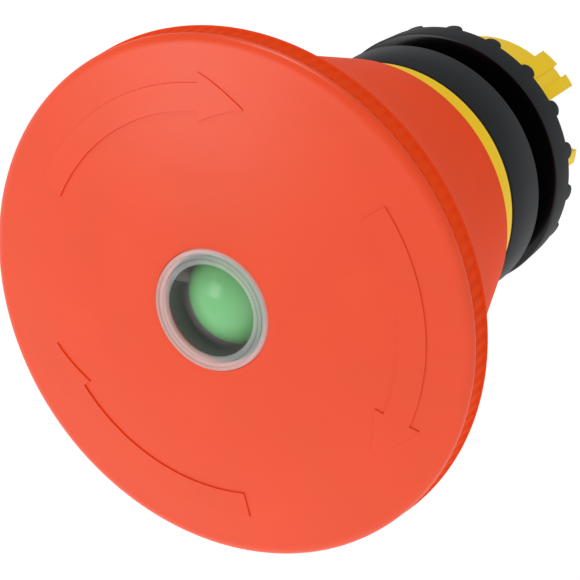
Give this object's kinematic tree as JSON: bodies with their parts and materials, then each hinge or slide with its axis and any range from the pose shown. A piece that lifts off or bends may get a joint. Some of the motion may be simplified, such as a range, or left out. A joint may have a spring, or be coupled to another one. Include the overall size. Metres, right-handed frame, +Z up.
{
  "type": "emergency stop button",
  "caption": "Red palm-head emergency stop button for a 22 mm panel hole, turned clockwise to release, with a turning two-colour position indicator behind a clear window",
  "frame": {"origin": "on the button's axis, in the plane of the panel's front face, which is the rear face of the gasket", "axes": "+Y runs from the head into the panel and is the pressing direction, the palm faces -Y, +Z is up with the locating rib on top, +X is to the right seen from the front"},
  "size_m": [0.06, 0.0665, 0.06],
  "materials": {
    "red_plastic": "satin",
    "yellow_plastic": "satin",
    "black_plastic": "fine matte",
    "dark_plastic": "matte",
    "clear_plastic": "polished",
    "green_plastic": "glossy",
    "indicator_red": "glossy",
    "acetal": "satin",
    "rubber": "matte",
    "steel": "zinc plated",
    "spring_steel": "bright drawn wire"
  },
  "bodies": {
    "housing": {"barrel_body": "black_plastic", "signal_ring": "yellow_plastic", "panel_gasket": "rubber", "fixing_nut": "black_plastic", "mechanism_housing": "yellow_plastic", "housing_clip": "spring_steel", "stem_seal": "rubber", "seal_retainer": "dark_plastic", "sleeve_bearing": "acetal", "return_spring": "spring_steel", "latch_spring": "spring_steel"},
    "plunger": {"plunger_stem": "dark_plastic", "cam_pin_right": "steel", "cam_pin_left": "steel", "contact_pusher": "dark_plastic", "pusher_screw": "steel"},
    "head": {"palm_cap": "red_plastic", "palm_skirt": "red_plastic", "indicator_window": "clear_plastic", "head_hub": "dark_plastic", "hub_screw_1": "steel", "hub_screw_2": "steel", "hub_screw_3": "steel", "stem_clip": "spring_steel", "twist_spring": "spring_steel"},
    "indicator": {"indicator_green": "green_plastic", "indicator_red": "indicator_red", "indicator_axle": "acetal"},
    "spindle": {"release_spindle": "acetal", "release_key": "steel"},
    "trip": {"trip_sleeve": "acetal"}
  },
  "joints": [
    {"name": "press", "type": "slide", "parent": "housing", "child": "plunger", "axis": [0, 1, 0], "range_m": [0, 0.0045], "stiffness_N_per_m": 3000, "springref_m": -0.001, "deforming": ["return_spring"]},
    {"name": "twist", "type": "hinge", "parent": "plunger", "child": "head", "pos_m": [0, 0, 0], "axis": [0, 1, 0], "range_deg": [0, 35], "stiffness_Nm_per_rad": 0.15, "springref_deg": -2.86},
    {"name": "indicator_turn", "type": "hinge", "parent": "head", "child": "indicator", "pos_m": [0, -0.041, 0], "axis": [1, 0, 0], "range_deg": [0, 180]},
    {"name": "spindle_twist", "type": "hinge", "parent": "housing", "child": "spindle", "pos_m": [0, 0, 0], "axis": [0, 1, 0], "range_deg": [0, 35]},
    {"name": "trip_turn", "type": "hinge", "parent": "housing", "child": "trip", "pos_m": [0, 0, 0], "axis": [0, 1, 0], "range_deg": [-30, 0]}
  ],
  "couplings": [
    {"joint": "indicator_turn", "follows": "press", "rad_per_m": 698.1},
    {"joint": "spindle_twist", "follows": "twist", "ratio": 1},
    {"joint": "trip_turn", "follows": "press", "rad_per_m": -116.35}
  ]
}
